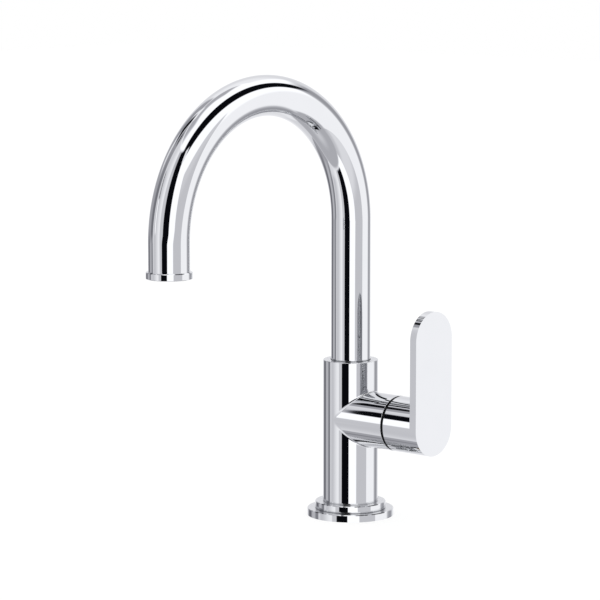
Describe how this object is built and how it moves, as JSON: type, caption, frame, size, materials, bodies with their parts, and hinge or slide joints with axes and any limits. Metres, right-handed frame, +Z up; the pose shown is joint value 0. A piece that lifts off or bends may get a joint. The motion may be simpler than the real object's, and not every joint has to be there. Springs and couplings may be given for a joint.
{
  "type": "water filter faucet",
  "caption": "Deck-mounted filtered-water faucet: round column, arched swivel spout tube with an outlet ring, and a side barrel with an upright flat lever.",
  "frame": {"origin": "on the deck surface, at the axis of the column and of the spout's swivel", "axes": "+Z up out of the deck; -Y along the spout's reach at rest, towards the user; +X along the valve barrel to the lever"},
  "size_m": [0.0955, 0.2065, 0.339],
  "materials": {
    "chrome": "mirror polished plating on brass",
    "brass": "turned, satin",
    "steel": "bare stainless, fine turning marks",
    "black_rubber": "matte moulded",
    "black_plastic": "matte moulded",
    "white_plastic": "smooth moulded",
    "grey_plastic": "smooth moulded",
    "ceramic": "lapped"
  },
  "bodies": {
    "body": {"base_seal": "black_rubber", "flange": "chrome", "foot_ring": "chrome", "body": "chrome", "shank": "brass", "rubber_washer": "black_rubber", "clamp_washer": "steel", "mounting_nut": "brass", "spout_screw": "steel", "seat_seal": "black_rubber", "fixed_disc": "ceramic", "valve_housing": "brass", "housing_gasket": "black_rubber", "barrel_ring": "black_plastic"},
    "spout": {"spout_tube": "chrome", "spout_nipple": "brass", "upper_glide_ring": "white_plastic", "lower_glide_ring": "white_plastic", "spout_o_rings": "black_rubber", "outlet_adapter": "brass", "outlet_ring": "chrome", "aerator_insert": "grey_plastic", "flow_disc": "white_plastic", "aerator_screen": "steel", "outlet_washer": "black_rubber"},
    "lever": {"lever": "chrome", "spline_insert": "white_plastic", "lever_screw": "steel", "lever_plug": "chrome", "stem": "brass", "stem_o_rings": "black_rubber", "stem_clip": "steel", "moving_disc": "ceramic"}
  },
  "joints": [
    {"name": "spout_swivel", "type": "hinge", "parent": "body", "child": "spout", "pos_m": [0, 0, 0.1], "axis": [0, 0, 1], "continuous": true},
    {"name": "lever_turn", "type": "hinge", "parent": "body", "child": "lever", "pos_m": [0.04, 0, 0.0632], "axis": [1, 0, 0], "range_deg": [0, 90]}
  ]
}
